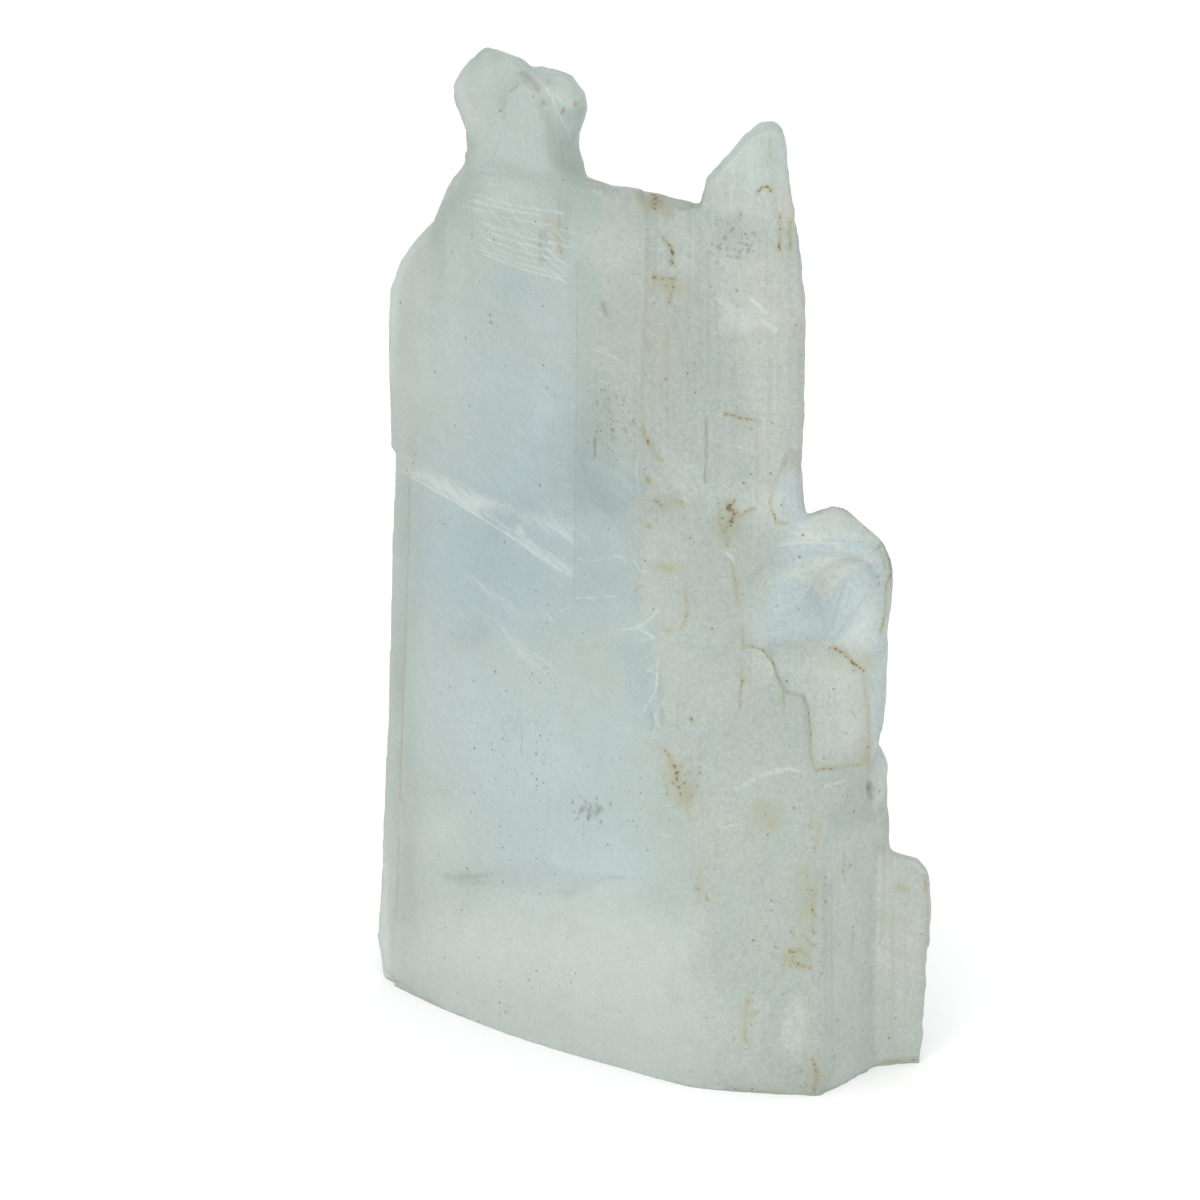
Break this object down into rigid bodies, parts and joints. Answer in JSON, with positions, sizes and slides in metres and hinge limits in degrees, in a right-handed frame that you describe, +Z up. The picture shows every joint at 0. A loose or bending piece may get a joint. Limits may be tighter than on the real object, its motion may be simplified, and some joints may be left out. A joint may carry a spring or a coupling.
{
  "type": "selenite slab",
  "caption": "Upright slab of milky grey-green selenite with a flat cleaved face, a stepped striated side, a rounded knob, a pointed spire and a flat base to stand on.",
  "frame": {"origin": "middle of the slab's bounding box, in the plane of the flat base", "axes": "+Z up, along the slab's height; the broad cleaved face looks towards -Y; +X towards the striated side with the lower block"},
  "size_m": [0.1262, 0.0478, 0.2144],
  "materials": {
    "selenite": "milky, translucent, with a glassy to pearly lustre"
  },
  "bodies": {
    "root": {"selenite_slab": "selenite"}
  },
  "joints": []
}
